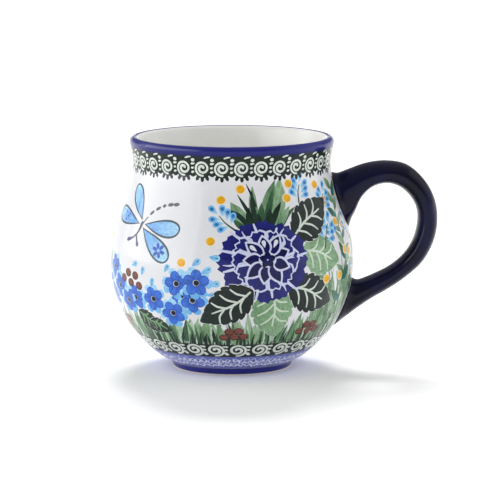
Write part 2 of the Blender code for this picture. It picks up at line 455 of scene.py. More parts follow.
def dahlia(spot):
    """A many-petalled cobalt flower whose petals are parted by pale lines."""
    width, height = 40.0, 34.0
    spot.lay(oval(width * 0.74, height * 0.74, count=24), COBALT, streaks=0.9)
    petal_ring(spot.spot(0, -0.4), width, height, 12, 0.3, edge=0.0)
    petal_ring(spot.spot(0.2, 0.2), width * 0.72, height * 0.72, 10, 0.26, edge=0.4)
    middle = spot.spot(0.6, 0.6)
    for k in range(9):
        around = 20 + 40 * k
        length = 8.6 if k % 2 else 7.2
        place = math.radians(around)
        one = middle.spot(2.6 * math.cos(place), 2.4 * math.sin(place), around)
        one.lay(leaf(length * 0.92 + 1.5, 6.1) - (0.5, 0), PETAL_LINE, streaks=0.2)
        one.lay(leaf(length * 0.92, 4.3), COBALT, COBALT_DEEP, [(0, 0), (length, 0)], 0, 0.8)
        if 0 < k < 4:
            one.lay(teardrop(length * 0.42, 1.7, length * 0.34, 14), PETAL_CORE, streaks=0.2)
    middle.lay(oval(7.4, 6.2), PETAL_LINE, streaks=0.2)
    for k in range(5):
        one = middle.spot(0, 0, 90 + 72 * k)
        one.lay(leaf(3.3, 2.7) + (0.3, 0), COBALT, COBALT_DEEP, [(0, 0), (3, 0)], 0, 0.6)


def petal_ring(spot, width, height, count, base, edge):
    """A ring of ragged petals, parted by pale lines. edge is how far the lines go round each tip, in mm."""
    rng = spot.painting.random
    size = 1.06 * math.pi * (width + height) / 2 / count
    for k in range(count):
        around = math.tau * (k + rng.uniform(-0.14, 0.14)) / count
        x, y = width / 2 * math.cos(around), height / 2 * math.sin(around)
        reach = math.hypot(x, y) * (1 - base) * rng.uniform(0.93, 1.03)
        wide = size * rng.uniform(0.94, 1.06)
        one = spot.spot(x * base, y * base, math.degrees(math.atan2(y, x)))
        shape = petal(reach, wide, rng)
        if edge:
            one.lay(shape * (1 + 1.6 * edge / reach, 1 + 4 * edge / wide), PETAL_LINE, streaks=0.2)
        one.lay(shape, COBALT, COBALT_LIGHT, [(reach * 0.3, 0), (reach * 1.7, 0)], 0, 0.9)
        side = [(0, -0.1 * wide), (reach * 0.34, -0.32 * wide), (reach * rng.uniform(0.7, 0.9), -0.48 * wide)]
        one.stroke(side, [1.3, 1.35, 0.8], PETAL_LINE, count=7, streaks=0.2)
        if k % 2 == 0:
            vein = [(reach * 0.44, 0.05 * wide), (reach * 0.62, 0.12 * wide), (reach * 0.8, 0.1 * wide)]
            one.stroke(vein, [0.6, 0.8, 0.3], PETAL_LINE, count=5, streaks=0.2)


def forget_me_not(spot):
    rng = spot.painting.random
    for k in range(7):
        around = math.tau * (k + rng.uniform(-0.25, 0.25)) / 7
        place = (5.1 * math.cos(around), 4.9 * math.sin(around))
        spot.lay(oval(3.8, 2.9, place, math.degrees(around) + 70), SKY_PALE, SKY, [(0, 4), (0, -4)], 0, 0.5)
    for k in range(5):
        around = math.tau * k / 5 + 0.3
        one = spot.spot(3.0 * math.cos(around), 2.9 * math.sin(around), math.degrees(around))
        one.lay(oval(4.7, 4.3), FLOWER_DEEP)
        one.lay(oval(4.4, 3.8), FLOWER_BLUE, FLOWER_DEEP, [(0.4, 0), (-3.0, 0)], 0, 0.9)
    spot.lay(oval(3.6, 3.4), FLOWER_DEEP, streaks=0.4)
    spot.lay(oval(2.7, 2.5), PALE_VEIN, streaks=0.2)
    spot.lay(oval(2.3, 2.2, (0.1, 0)), EYE_DARK, streaks=0.3)


def yellow_dot(spot):
    size = 3.4
    spot.lay(oval(size + 0.7, size + 0.6), YELLOW_HALO, streaks=0.1)
    spot.lay(oval(size, size * 0.94), YELLOW, YELLOW_DEEP, [(-1.2, 1.2), (2.2, -2.2)], 40, 0.5)


def sky_dab(spot, length=4.6):
    spot.lay(teardrop(length, length * 0.6, -length / 2, 16), SKY, SKY_PALE, [(-1, 0), (2, 0)], 0, 0.7)
    spot.lay(oval(1.3, 0.8, (length * 0.2, 0)), TEAL_PALE)


def berries(spot, places):
    for x, y in places:
        berry = spot.spot(x, y)
        berry.lay(oval(4.0, 3.5), BROWN_DARK)
        berry.lay(oval(3.2, 2.7, (0.1, 0.15)), BROWN, streaks=0.9)


def sprig(spot, length, pairs=3):
    """A stalk along +x with dabs of blue that fan out from it."""
    spot.stroke([(0, 0), (length * 0.5, 0.5), (length * 0.8, 0)], [0.8, 0.6, 0.4], LEAF_GREY, LEAF_MID)
    dabs = [(length * (0.30 + 0.56 * k / pairs), side, side * (62 - 10 * k))
            for k in range(pairs) for side in (1, -1)]
    for x, side, turn in dabs + [(length * 0.86, 0, 0)]:
        dab = spot.spot(x, side * 0.6, turn)
        dab.lay(teardrop(4.9, 2.6, 0.2, 16), SKY_PALE, SKY, [(0, 0), (4.4, 0)], 0, 0.5)
        dab.lay(teardrop(2.3, 1.5, 1.9, 12), SKY, DAB_BLUE, [(1.8, 0), (3.2, 0)], 0, 0.7)


def wing(spot, length, width, speckled=False):
    spot.lay(teardrop(length, width, 0.2, 32), WING_LINE)
    fill = teardrop(length - 2.1, width - 1.7, 1.6, 28)
    spot.lay(fill, WING_PALE, WING_DEEP, [(length * 0.85, 1), (length * 0.35, -1)], 0, 0.9)
    if speckled:
        for k in range(8):
            x = length * (0.50 + 0.06 * (k % 4))
            spot.lay(oval(1.7, 0.9, (x, 1.4 * (k % 3) - 1.4), 30 * k), FLOWER_BLUE, streaks=0.5)


def dragonfly(spot):
    wing(spot.spot(-0.2, 1.4, 126), 17.5, 7.4)
    wing(spot.spot(-1.2, 0.2, 171), 21.0, 7.2, True)
    wing(spot.spot(1.2, 0.4, -4), 18.8, 7.6)
    lower = spot.spot(0.6, -0.8, -38)
    wing(lower, 20.5, 8.2)
    for k in range(6):
        lower.spot(14.4, 0.1, 60 * k + 20).lay(oval(2.6, 1.5, (1.9, 0)), FLOWER_DEEP, streaks=0.5)
    tail = smooth_path([(0.4, 0.6), (4.5, 5.6), (10.5, 8.9), (18.0, 9.9)], 25)
    for first, last, wide in ((0, 4, 0.7), (6, 8, 1.4), (10, 12, 1.4),
                              (14, 15, 1.5), (17, 19, 1.6), (20, 22, 1.6)):
        spot.stroke(tail[[first, last]], [wide * 0.8, wide, wide * 0.8], INSECT_GREY, count=5)
    spot.stroke([(0, 0.8), (-1.0, -2.4), (-2.4, -4.6)], [1.7, 1.1, 0.7], WING_LINE, LEAF_BLACK)
    for feeler in ([(-2.2, -4.2), (-4.6, -6.0), (-7.6, -6.9)], [(-2.2, -4.2), (-1.4, -6.2), (-0.4, -8.6)]):
        spot.stroke(feeler, [0.9, 1.0, 1.8], WING_LINE, PLUM)


def tuft(spot):
    """Long leaves that rise from behind a flower."""
    blades = [
        ([(-5, 0), (-9, 4.4), (-12.4, 10)], 5.4, LEAF_PALE, LEAF_GREEN),
        ([(3.5, 0), (7.2, 9), (8.6, 19.6)], 6.8, LEAF_GREEN, LEAF_PALE),
        ([(0, 0), (2.5, 9), (6.4, 18.6)], 4.6, LEAF_PALE, LEAF_MID),
        ([(-2.5, 0), (-3.4, 8), (-3.2, 16.5)], 3.6, LEAF_MID, LEAF_PALE),
        ([(-2.2, 8), (-3.8, 13), (-5.6, 17.4)], 1.0, LEAF_GREY, LEAF_BLACK),
        ([(8, -0.5), (11.6, 4.6), (16, 7.6)], 1.6, LEAF_GREY, LEAF_MID),
        ([(6, -1), (9.6, 4.0), (12.2, 7.6)], 3.0, LEAF_MID, LEAF_PALE),
        ([(-5.5, -1), (-9.4, 4.4), (-15, 7.0)], 2.2, LEAF_DARK, LEAF_BLACK),
        ([(-6.5, -2), (-10.4, 1.4), (-12, 3.4)], 2.6, LEAF_DARK, LEAF_MID),
        ([(-2.4, -1), (-5.6, 6), (-9.4, 13.2)], 1.7, LEAF_BLACK, LEAF_DARK),
        ([(-2, -1), (-3.6, 8), (-3.4, 14.8)], 2.2, LEAF_DARK, LEAF_GREY),
        ([(0.5, -1), (3.0, 7), (5.6, 15.5)], 2.8, LEAF_DARK, LEAF_MID),
        ([(-0.8, -1), (-0.4, 5), (0.2, 9.6)], 3.2, LEAF_DARK, LEAF_MID),
        ([(3, -1), (5.6, 4.8), (8.6, 9.6)], 2.6, LEAF_DARK, LEAF_BLACK),
        ([(-4.4, -1), (-5.6, 3.4), (-5.2, 7.8)], 2.6, LEAF_DARK, LEAF_BLACK),
        ([(1.6, -1), (3.0, 3.8), (3.4, 7.2)], 3.0, LEAF_BLACK, LEAF_DARK),
        ([(-2.6, -1), (-1.6, 2.8), (-1.8, 5.4)], 2.8, LEAF_BLACK, LEAF_DARK),
    ]
    for path, wide, ink, other in blades:
        widths = [wide * 0.6, wide * 0.95, wide, wide * 0.75, 0.2]
        spot.stroke(path, widths, ink, other, count=12, streaks=1.0)


def bouquet(painting, angle, flip=1):
    """A dahlia with its leaves, sprigs and buds."""
    middle = Spot(painting, angle, 50.3, flip=flip)
    veined_leaf(middle.spot(1.7, -10.8, -80), 21.5, 17.5, LEAF_GREEN, LEAF_PALE, PALE_VEIN, 6)
    veined_leaf(middle.spot(16.4, 3.4, -16), 22.5, 16.5, LEAF_PALE, LEAF_GREEN, PALE_VEIN, 6)
    tuft(middle.spot(-0.2, 13.6))
    sprig(middle.spot(-11.2, 12.0, 138), 11.5)
    sprig(middle.spot(17.0, 21.0, 78), 10.5)
    sprig(middle.spot(29.0, 3.0, 62), 13.0)
    sprig(middle.spot(31.0, 16.0, 70), 11.0)
    veined_leaf(middle.spot(12.4, 9.0, 33), 25.0, 15.4, LEAF_BLACK, LEAF_GREY, VEIN, 7)
    veined_leaf(middle.spot(9.6, -10.6, -20), 25.0, 15.5, LEAF_BLACK, LEAF_GREY, VEIN, 7)
    dahlia(middle.spot(0, 0))
    veined_leaf(middle.spot(-5.6, -11.6, 213), 24.5, 15.2, LEAF_BLACK, LEAF_GREY, VEIN, 7)
    for x, y in ((-16.3, 24), (-8.2, 28.2), (-22, 8), (12.3, 29.6), (11.2, 24), (27, 28), (29.4, -9.5)):
        yellow_dot(middle.spot(x, y))
    for x, y, turn in ((-28.4, -0.6, 40), (-20.8, 1.6, -10), (-21, -9, 10), (-24.2, -3.6, 30)):
        sky_dab(middle.spot(x, y, turn))


def meadow_flowers(painting, angle, flip=1):
    """A bank of forget-me-nots with berries."""
    bank = Spot(painting, angle, 35, flip=flip)
    flowers = [
        (-36, 9, 10, 0.95), (-44, 1, 30, 0.95), (-39, -3, 0, 0.9), (-31, 1.5, 15), (-19.4, -2),
        (-25, -4, 30, 0.9), (-8.6, -1.4, 20), (5, 1.0, 50, 0.9), (3, 6.0, 12), (9.6, -0.6, 40),
        (11.6, 6.8, 0, 1.05), (0.2, -6.6, 25),
    ]
    for flower in flowers:
        forget_me_not(bank.spot(*flower))
    berries(bank, [(-23.4, 8), (-18.6, 7.2), (-26.8, 5.4), (-21.6, 4), (-16.4, 3.2)])
    for x, y, turn in ((-8.8, 5.6, 80), (-19, 12, 20), (-1.5, 12, 60), (-14, 9.6, 70), (17.6, 2.0, 0)):
        sky_dab(bank.spot(x, y, turn), 4.0)


def vine(painting, angle, flip):
    """Stems, small leaves and buds that climb towards the neck."""
    rng = painting.random
    foot = Spot(painting, angle, 28, flip=flip)
    stem = [(0, -6), (-3, 8), (2, 22), (0.5, 36), (4, 50)]
    foot.stroke(stem, [1.0, 1.2, 0.8, 0.6], LEAF_MID, LEAF_GREY, count=24)
    spine = smooth_path(stem, 20)
    for k, (x, y) in enumerate(spine[1:]):
        side = 1 if k % 2 else -1
        ink, other = ((LEAF_MID, LEAF_PALE), (LEAF_GREEN, LEAF_PALE), (TEAL, LEAF_MID))[k % 3]
        blade = foot.spot(x, y, 90 - side * rng.uniform(30, 70))
        blade.lay(leaf(rng.uniform(6, 10), rng.uniform(2.4, 4.0)), ink, other, [(0, 0), (8, 0)], 0, 1.0)
    for x, y in ((4, 34.5), (6.5, 23), (-5, 46), (-4.5, 14)):
        yellow_dot(foot.spot(x, y))
    for x, y, turn in ((8, 41, 60), (-6, 30, 100), (7, 12, 40)):
        sprig(foot.spot(x, y, turn, 0.85), 8, 2)


def blades(painting, count, span, foot_heights, talls, widths, inks):
    """Upright strokes of green spread over a span of angles."""
    rng = painting.random
    start, end = span
    for k in range(count):
        share = (k * 0.618034 + 0.013 * rng.random()) % 1
        foot = Spot(painting, start + (end - start) * share, rng.uniform(*foot_heights))
        tall, wide = rng.uniform(*talls), rng.uniform(*widths)
        lean = rng.uniform(-0.24, 0.24) * tall
        path = [(0, 0), (lean * 0.3, tall * 0.5), (lean, tall)]
        foot.stroke(path, [wide * 0.8, wide, 0.15], rng.choice(inks), rng.choice(inks), 5, 1.0)


def grass(painting):
    all_round = (SEAM, FAR_SEAM)
    painting.band(14.6, 19.0, HAZE_LOW, HAZE_HIGH, streaks=0.9)
    blades(painting, 180, all_round, (15, 18), (8, 15), (2.4, 4.2), GRASS_PALE)
    for span in ((44, 90), (-270, -240), (-100, -80)):
        blades(painting, 22, span, (15, 20), (22, 42), (2.4, 4.4), GRASS_PALE)
        blades(painting, 24, span, (16, 26), (16, 34), (0.9, 2.0), GRASS + GRASS_PALE)
    blades(painting, 150, all_round, (14.5, 18), (6, 14), (0.9, 2.0), GRASS)
    blades(painting, 120, all_round, (14.5, 16), (3, 9), (0.7, 1.3), GRASS_DARK)


def neck_border(painting):
    """A dark band with a stamped running scroll, toothed along its lower edge."""
    repeats = 32
    painting.band(83.6, 91.6, BORDER, streaks=0.8)
    for k in range(repeats):
        stamp = Spot(painting, SEAM + (k + 0.5) * 360 / repeats, 86.4)
        stamp.lay(oval(7.7, 8.0, (0.1, 0)), BORDER, streaks=0.8)
        for tooth in range(5):
            way = math.radians(-90 + 27 * (tooth - 2))
            near = np.array([math.cos(way), math.sin(way)])
            stamp.stroke([near * 3.4, near * 5.0], [1.5, 1.35], BORDER, count=4)
        scroll(stamp, 1)
        stamp.stroke([(1.0, 4.2), (3.2, 4.9)], [0.6, 0.8], STAMP, count=4)
        stamp.lay(oval(1.6, 1.4, (-3.9, 3.4)), STAMP, streaks=0.3)


def scroll(stamp, flip):
    """A bold curl with short rays on one side."""
    stamp.lay(spiral(0.45, 2.7, 1.7, 0.78) * (1.14 * flip, 1.12), STAMP, streaks=0.4)
    for y, length in ((1.8, 1.4), (0.1, 0.9), (-1.6, 1.3)):
        stamp.stroke([(3.6 * flip, y), ((3.6 + length) * flip, y + 0.2)], [1.0, 0.5], STAMP, count=4)


def lower_border(painting):
    """The same scroll reversed, with dark blades above it and a blue lace of squiggles below."""
    rng = painting.random
    repeats = 27
    painting.band(9.4, 15.4, BORDER, streaks=0.9)
    for k in range(repeats):
        angle = SEAM + (k + 0.5) * 360 / repeats
        stamp = Spot(painting, angle, 12.7)
        for blade in range(6):
            x = -3.9 + 1.55 * blade
            tall = rng.uniform(4.2, 6.4)
            stamp.stroke([(x, 2), (x + 0.5, tall)], [1.2, 0.2], BORDER, LEAF_GREY, 4, 0.8)
        scroll(stamp.spot(0, 0, 0, 1.2), -1)
        stamp.lay(oval(1.6, 1.3, (4.4, -2.6)), STAMP, streaks=0.3)
    painting.band(0, 9.4, LACE, streaks=0.9)
    waves = 40
    for k in range(waves):
        lace = Spot(painting, SEAM + (k + 0.5) * 360 / waves, 6.2)
        for row in range(4):
            middle = 2.5 - 1.55 * row + rng.uniform(-0.3, 0.3)
            start = rng.uniform(-3.2, -2.0)
            ups = (1, -1, 1, -1, 1) if row % 2 else (-1, 1, -1, 1, -1)
            wave = [(start + 1.3 * step, up * rng.uniform(0.5, 1.5)) for step, up in enumerate(ups)]
            squiggle = lace.spot(0, middle, rng.uniform(-22, 22))
            squiggle.stroke(wave, [0.5, 0.95, 0.6], LACE_WHITE if row % 2 else LACE_PALE, count=9)
    painting.band(0, 2.9, COBALT_LIGHT, COBALT, 0.8)


def paint_mug():
    """The whole painting, from the grass behind it to the bands that cover its edges."""
    painting = Painting(seed=11)
    grass(painting)
    for angle, flip in ((66, 1), (-242, -1), (84, 1)):
        vine(painting, angle, flip)
    meadow_flowers(painting, -30)
    meadow_flowers(painting, -232, -1)
    dragonfly(Spot(painting, -51, 62.5))
    bouquet(painting, 16)
    bouquet(painting, -166, -1)
    dragonfly(Spot(painting, -112, 63, turn=10, size=0.85, flip=-1))
    for angle, height in ((-24, 49.5), (64, 62.5), (68, 51), (-84, 55), (-92, 72), (-212, 70), (-226, 62)):
        yellow_dot(Spot(painting, angle, height))
    cluster = [(-2, 1.5), (1.8, 1.8), (-4, -1.4), (0, -1.2), (3.8, -1)]
    wider = [(-1.8, 1.8), (2, 1.6), (-4.4, -1.2), (0.2, -1.4), (4, -1)]
    for angle, height, places in ((1, 20, cluster), (44, 21, wider), (-70, 21, cluster[:4]),
                                  (-190, 20, cluster)):
        berries(Spot(painting, angle, height), places)
    veined_leaf(Spot(painting, -53, 27.5, turn=-38), 14, 8.5, LEAF_BLACK, LEAF_DARK, LEAF_GREEN, 6, 2)
    veined_leaf(Spot(painting, -46, 24, turn=-20), 11, 6.5, LEAF_BLACK, LEAF_DARK, LEAF_GREEN, 5, 2)
    lower_border(painting)
    # Plain white glaze round each handle root: partly a margin the painting stops short of, partly a painted
    # highlight, the pale line along each root's edge.
    Spot(painting, FAR_SEAM, 25.5).lay(oval(25.0, 30), WHITE, streaks=0.1)
    Spot(painting, FAR_SEAM, 66.5).lay(oval(21.5, 30), WHITE, streaks=0.1)
    neck_border(painting)
    # The rim band turns from cobalt to light cobalt towards the top: a painted highlight along the rim.
    painting.band(91.3, HEIGHT, COBALT, COBALT_LIGHT, 0.6)
    return painting


# ---------------- from the painting to the wall's mesh

def unrolled_net():
    """The edges and inner points of the unrolled wall: (points, edges)."""
    rings = np.linspace(SEAM, FAR_SEAM, RING_STEPS + 1) * MM_PER_DEGREE
    rows = np.linspace(WALL_FOOT, WALL_TOP, round((WALL_TOP - WALL_FOOT) / MESH_STEP) + 1)
    points, edges = [], []

    def run(line):
        first = len(points)
        points.extend(line)
        edges.extend((i, i + 1) for i in range(first, len(points) - 1))

    for height in (WALL_FOOT, WALL_TOP):
        run([(u, height) for u in rings])
    for angle in (SEAM, FRONT_EDGE, FAR_SEAM):
        run([(angle * MM_PER_DEGREE, v) for v in rows])
    for k, v in enumerate(rows[1:-1]):
        shift = 0.5 * (k % 2)
        points.extend((u + shift * (rings[1] - rings[0]), v) for u in rings[1:-1])
    return points, edges


def cut_up(painting):
    """Cuts every outline into the wall: (flat points, triangles, the topmost shape of each or -1)."""
    points, edges = unrolled_net()
    faces = []
    for shape in painting.shapes:
        first = len(points)
        points.extend(map(tuple, shape["flat"]))
        faces.append(list(range(first, len(points))))
    places = [Vector(p) for p in points]
    cut = delaunay_2d_cdt(places, edges, faces, WHOLE_HULL, CUT_TOLERANCE, True)
    flat, _, triangles, _, _, owners = cut
    flat = np.array([tuple(p) for p in flat])
    triangles = np.array(triangles)
    top = np.array([max(o, default=-1) for o in owners])
    middle = flat[triangles].mean(axis=1)
    low = (SEAM * MM_PER_DEGREE, WALL_FOOT)
    high = (FAR_SEAM * MM_PER_DEGREE, WALL_TOP)
    keep = np.all((middle > low) & (middle < high), axis=1)
    return flat, triangles[keep], top[keep]


def weld_seam(flat, triangles):
    """Joins the unrolled wall's two ends: (the points left, the triangles left, which ones those are)."""
    used = np.zeros(len(flat), bool)
    used[triangles] = True
    at_end = (np.abs(flat[:, 0] - SEAM * MM_PER_DEGREE) < SAME_PLACE)
    at_end |= (np.abs(flat[:, 0] - FAR_SEAM * MM_PER_DEGREE) < SAME_PLACE)
    ends = np.flatnonzero(at_end & used)
    ends = ends[np.argsort(flat[ends, 1])]
    place = np.concatenate([[0], np.cumsum(np.diff(flat[ends, 1]) > SAME_PLACE)])
    target = np.arange(len(flat))
    target[ends] = ends[np.searchsorted(place, place)]
    triangles = target[triangles]
    whole = np.all(triangles != np.roll(triangles, 1, axis=1), axis=1)
    kept, triangles = np.unique(triangles[whole], return_inverse=True)
    return flat[kept], triangles.reshape(-1, 3), whole


def paint_corners(painting, flat, triangles, top):
    """The glaze colour and the brush's own coordinates at each corner of each triangle."""
    paint = np.empty((len(triangles), 3, 4))
    brush = np.zeros((len(triangles), 3, 3))
    paint[:] = (*WHITE, 1)
    order = np.argsort(top, kind="stable")
    starts = np.searchsorted(top[order], np.arange(len(painting.shapes) + 1))
    for number, shape in enumerate(painting.shapes):
        mine = order[starts[number]:starts[number + 1]]
        if not len(mine):
            continue
        at = flat[triangles[mine]]
        share = np.zeros(at.shape[:2])
        if shape["fade"] is not None:
            start, end = shape["fade"]
            way = end - start
            share = np.clip((at - start) @ way / (way @ way), 0, 1)
        share = share[..., None]
        paint[mine, :, :3] = (1 - share) * np.array(shape["ink"]) + share * np.array(shape["other"])
        c, s = math.cos(shape["grain"]), math.sin(shape["grain"])
        brush[mine, :, 0] = at @ (c, s) + shape["shift"]
        brush[mine, :, 1] = at @ (-s, c)
        brush[mine, :, 2] = shape["streaks"]
    return paint, brush


def lip_and_bowl():
    """(radius, height, is cobalt) from above the wall over the lip and down to the bowl's middle."""
    half = LIP_THICKNESS / 2
    centre = RIM_RADIUS - half
    turns = np.radians(np.linspace(*LIP_ARC, LIP_RINGS))
    lip = [(centre + half * math.cos(t), HEIGHT - half + half * math.sin(t), t < math.radians(LIP_COBALT_END))
           for t in turns]
    bowl = smooth_path([(r, z) for z, r in [(HEIGHT - half, centre - half)] + BOWL], BOWL_RINGS)[1:]
    return lip + [(r, z, False) for r, z in bowl]


def underside():
    """(radius, height, is cobalt) from under the wall's foot to the middle of the recess."""
    inner = FOOT_RADIUS - FOOT_WIDTH
    top = FOOT_HEIGHT + 0.3
    return [(24.8, top - 0.4, True), (inner + 1.0, top - 0.35, True), (inner - 0.2, top - 0.1, False),
            (inner - 1.5, top + 0.2, False), (10.0, top + 0.25, False), (1.0, top + 0.25, False)]


def add_rings(points, normals, inks, faces, start, profile, upward):
    """Carries the skin on from a ring of points, ring by ring, and closes it with a fan."""
    way = 1 if upward else -1
    turns = np.arctan2(points[start, 0] - AXIS_X, -points[start, 1])
    circle = np.column_stack([np.sin(turns), -np.cos(turns), np.ones(len(start))])
    path = np.array([(r, z) for r, z, _ in profile])
    edge = [np.hypot(points[start[0], 0] - AXIS_X, points[start[0], 1]), points[start[0], 2]]
    slope = way * np.gradient(np.vstack([edge, path, [0, path[-1, 1]]]), axis=0)[1:-1]
    facing = np.column_stack([slope[:, 1], -slope[:, 0]])
    facing /= np.linalg.norm(facing, axis=1)[:, None]
    previous = start
    for (radius, height, cobalt), (out, up) in zip(profile, facing):
        ring = np.arange(len(points), len(points) + len(start))
        points = np.vstack([points, circle * (radius, radius, height) + (AXIS_X, 0, 0)])
        normals = np.vstack([normals, circle * (out, out, up)])
        inks.extend([RIM_BLUE if cobalt else BOWL_WHITE] * len(start))
        quads = np.column_stack([previous, np.roll(previous, -1), np.roll(ring, -1), ring])
        faces.extend(quads[:, ::way].tolist())
        previous = ring
    fan = np.column_stack([previous, np.roll(previous, -1), np.full(len(start), len(points))])
    faces.extend(fan[:, ::way].tolist())
    inks.append(BOWL_WHITE)
    points = np.vstack([points, (AXIS_X, 0, profile[-1][1])])
    normals = np.vstack([normals, (0, 0, way)])
    return points, normals


def wall_uv(flat, triangles):
    """The wall in two strips, its front half over its back half."""
    at = flat[triangles]
    front = at[:, :, 0].mean(axis=1) > FRONT_EDGE * MM_PER_DEGREE
    start = np.where(front, FRONT_EDGE, SEAM)[:, None] * MM_PER_DEGREE
    across = 0.01 + 0.98 * (at[:, :, 0] - start) / (180 * MM_PER_DEGREE)
    up = (at[:, :, 1] - WALL_FOOT) / (WALL_TOP - WALL_FOOT)
    return np.stack([across, np.where(front, 0.6, 0.2)[:, None] + 0.39 * up], -1)


def plain_uv(points, faces):
    """Where the bowl and the underside go on the map: two round patches in the strip that is left."""
    patch, patch_height = 0.09, 0.1
    uv = []
    for corners in faces:
        at = points[corners]
        reach = np.hypot(at[:, 0] - AXIS_X, at[:, 1])
        turn = np.arctan2(at[:, 1], at[:, 0] - AXIS_X)
        if at[:, 2].mean() < WALL_FOOT + 1:
            middle, depth = 0.8, patch / 26 * reach
        else:
            middle, depth = 0.2, patch / 47 * (reach / 2 + at[:, 2] / 4)
        uv.extend(zip(middle + depth * np.cos(turn), patch_height + depth * np.sin(turn)))
    return uv


def make_mesh(name, points, faces):
    """A smooth mesh from points in millimetres."""
    mesh = bpy.data.meshes.new(name)
    mesh.from_pydata((np.array(points) * MM).tolist(), [], faces)
    mesh.shade_smooth()
    return mesh


def add_piece(name, mesh, node, slot, *materials):
    piece = bpy.data.objects.new(name, mesh)
    bpy.context.scene.collection.objects.link(piece)
    for made in materials:
        mesh.materials.append(made)
    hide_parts(node)
    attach(piece, "root")


def build_body(material):
    painting = paint_mug()
    flat, triangles, top = cut_up(painting)
    paint, brush = paint_corners(painting, flat, triangles, top)
    uv = wall_uv(flat, triangles)
    flat, triangles, whole = weld_seam(flat, triangles)
    angle, height = flat[:, 0] / MM_PER_DEGREE, flat[:, 1]
    points, normals = wall_point(angle, height), wall_normal(angle, height)
    faces = triangles.tolist()
    inks = [RIM_BLUE] * len(points)
    for level, profile in ((WALL_TOP, lip_and_bowl()), (WALL_FOOT, underside())):
        ring = np.flatnonzero(np.abs(height - level) < ON_EDGE)
        start = ring[np.argsort(angle[ring])]
        points, normals = add_rings(points, normals, inks, faces, start, profile, level == WALL_TOP)
    plain_faces = faces[len(triangles):]
    plain = np.array([(*inks[corner], 1) for face in plain_faces for corner in face])

    mesh = make_mesh("painted_body", points, faces)
    colours = np.vstack([paint[whole].reshape(-1, 4), plain])
    strokes = np.vstack([brush[whole].reshape(-1, 3), np.zeros((len(plain), 3))])
    for name, kind, field, values in (("paint", "FLOAT_COLOR", "color", colours),
                                      ("brush", "FLOAT_VECTOR", "vector", strokes)):
        corners = mesh.attributes.new(name, kind, "CORNER")
        corners.data.foreach_set(field, values.astype(np.float32).ravel())
    uv = np.vstack([uv[whole].reshape(-1, 2), plain_uv(points, plain_faces)])
    mesh.uv_layers.new(name="OFBake").data.foreach_set("uv", uv.astype(np.float32).ravel())
    mesh.normals_split_custom_set_from_vertices(normals.tolist())
    add_piece("painted_body", mesh, "mug_body", "painted_glaze", material)


# ---------------- handle, slip joints and foot ring

BACK_EDGE = smooth_path(HANDLE_BACK, EDGE_STEPS)
EYE_EDGE = smooth_path(HANDLE_EYE, EDGE_STEPS)


def handle_ring(place):
    """A round-edged section of the handle at a share of its length, and its middle, from the axis."""
    outer, inner = (edge[round(place * (len(edge) - 1))] for edge in (BACK_EDGE, EYE_EDGE))
    middle, across = (outer + inner) / 2, (outer - inner) / 2
    flare = (2 * abs(place - 0.5)) ** 6
    wide = (HANDLE_WIDTH + flare * (HANDLE_ROOT_WIDTH - HANDLE_WIDTH)) / 2
    ring = []
    for turn in np.linspace(0, math.tau, HANDLE_SIDES, endpoint=False):
        c, s = math.cos(turn), math.sin(turn)
        full = (abs(c) ** HANDLE_SQUARENESS + abs(s) ** HANDLE_SQUARENESS) ** (-1 / HANDLE_SQUARENESS)
        x, z = middle + across * full * c
        ring.append((x, wide * full * s, z))
    return np.array(ring), np.array([middle[0], 0, middle[1]])


def outside_wall(points):
    """How far points are outside the wall, in millimetres, square to it."""
    height = np.clip(points[:, 2], WALL_FOOT + 1, WALL_TOP - 1)
    return (np.hypot(points[:, 0], points[:, 1]) - wall_radius(height)) / np.hypot(1, wall_slope(height))


def wall_facing(height):
    """The way that the wall faces under the handle."""
    slope = wall_slope(height)
    return np.array([1, 0, -slope]) / math.hypot(1, slope)


def kept_out_of_bowl(ring):
    """The ring with any point that would come out in the bowl moved back into the wall."""
    heights, radii = np.array(BOWL[::-1]).T
    reach = np.hypot(ring[:, 0], ring[:, 1])
    least = np.interp(ring[:, 2], heights, radii) + BURIED
    grown = np.maximum(least / reach, 1)[:, None]
    return ring * np.hstack([grown, grown, np.ones_like(grown)])


def faces_between(rings, sides, closed=False):
    """The faces from each ring of points to the next, and from the last to the first if closed."""
    faces = []
    for k in range(rings if closed else rings - 1):
        for i in range(sides):
            j, after = (i + 1) % sides, (k + 1) % rings
            faces.append((k * sides + i, after * sides + i, after * sides + j, k * sides + j))
    return faces


def loft(name, rings):
    """A closed skin over rings of points."""
    sides = len(rings[0])
    last = (len(rings) - 1) * sides
    faces = faces_between(len(rings), sides)
    faces.append(tuple(range(sides)))
    faces.append(tuple(last + i for i in reversed(range(sides))))
    return make_mesh(name, np.vstack(rings) + (AXIS_X, 0, 0), faces)


def build_handle(places, material):
    rings = [kept_out_of_bowl(handle_ring(place)[0]) for place in places]
    add_piece("ear_handle", loft("ear_handle", rings), "handle", "cobalt_glaze", material)


def build_slip_joint(name, node, places, material):
    """The slip smoothed into the corner between the handle and the wall."""
    tuck = 0.01
    rings = []
    for place in places:
        ring, middle = handle_ring(place)
        away = ring - middle
        away /= np.linalg.norm(away, axis=1)[:, None]
        across = 1 - np.clip(away @ wall_facing(middle[2]), 0, 1)
        share = np.clip(1 - outside_wall(ring) / FILLET, 0, 1)
        rings.append(kept_out_of_bowl(ring + away * (FILLET / 2 * across * share ** 2 - tuck)[:, None]))
    add_piece(name, loft(name, rings), node, "slip_glaze", material)


